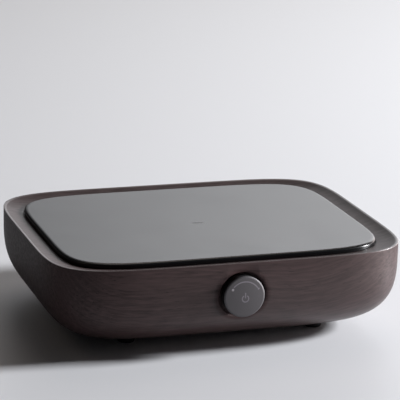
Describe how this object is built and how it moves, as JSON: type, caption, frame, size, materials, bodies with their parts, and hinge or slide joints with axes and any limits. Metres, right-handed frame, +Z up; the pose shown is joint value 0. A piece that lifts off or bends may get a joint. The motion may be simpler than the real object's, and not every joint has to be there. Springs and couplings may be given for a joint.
{
  "type": "portable hot plate",
  "caption": "Table-top electric hot plate: black glass plate in a dished dark walnut tub, radiant heater and fan inside, and a front knob that turns and presses",
  "frame": {"origin": "on the table, under the middle of the footprint with the knob included", "axes": "+X to the right seen from the knob side, +Y to the back, +Z up"},
  "size_m": [0.27, 0.226, 0.0683],
  "materials": {
    "walnut": "dark stained, satin oiled",
    "black_glass": "polished glass-ceramic with a fine satin top",
    "knob_grey": "grey anodised, fine bead-blasted",
    "black_rubber": "moulded, matt",
    "sheet_steel": "bright rolled sheet",
    "screw_steel": "bright zinc plated",
    "black_screw": "black oxide",
    "spring_steel": "drawn wire",
    "heating_alloy": "rolled ribbon, heat tinted",
    "fibre_insulation": "pressed fibre board, dusty",
    "steatite": "unglazed",
    "brass": "stamped",
    "black_plastic": "fine moulded grain",
    "board_green": "solder mask",
    "sink_aluminium": "extruded",
    "relay_blue": "moulded",
    "core_iron": "laminated, varnished",
    "capacitor_yellow": "epoxy filled box",
    "fuse_ceramic": "white tube",
    "white_nylon": "moulded"
  },
  "bodies": {
    "tub": {"housing": "walnut", "glass_plate": "black_glass", "plate_seal": "black_rubber", "heat_shield": "sheet_steel", "shield_screws": "screw_steel", "element_pan": "sheet_steel", "insulation_base": "fibre_insulation", "insulation_ring": "fibre_insulation", "heating_coil": "heating_alloy", "limiter_rod": "steatite", "limiter_head": "steatite", "element_terminal": "steatite", "terminal_tabs": "brass", "element_springs": "spring_steel", "base_cover": "black_plastic", "cover_screws": "black_screw", "feet": "black_rubber", "fan_frame": "black_plastic", "fan_screws": "screw_steel", "main_board": "board_green", "heat_sink": "sink_aluminium", "relay": "relay_blue", "transformer": "core_iron", "filter_capacitor": "capacitor_yellow", "fuse": "fuse_ceramic", "board_screws": "screw_steel", "control_board": "board_green", "encoder_body": "black_plastic", "encoder_cover": "sheet_steel", "encoder_washer": "sheet_steel", "encoder_nut": "brass", "press_dome": "spring_steel", "inlet_shell": "black_plastic", "inlet_pins": "brass", "inlet_screws": "black_screw"},
    "turner": {"encoder_rotor": "white_nylon"},
    "push_knob": {"encoder_shaft": "spring_steel", "knob": "black_plastic", "knob_face": "knob_grey", "knob_hub": "black_plastic"},
    "fan": {"fan_rotor": "black_plastic"}
  },
  "joints": [
    {"name": "knob_turn", "type": "hinge", "parent": "tub", "child": "turner", "pos_m": [0, -0.1, 0.044], "axis": [0, 1, 0], "continuous": true},
    {"name": "knob_press", "type": "slide", "parent": "turner", "child": "push_knob", "axis": [0, 1, 0], "range_m": [0, 0.0008], "stiffness_N_per_m": 1500},
    {"name": "fan_spin", "type": "hinge", "parent": "tub", "child": "fan", "pos_m": [-0.041, 0.0025, 0.018], "axis": [0, 0, 1], "continuous": true}
  ]
}
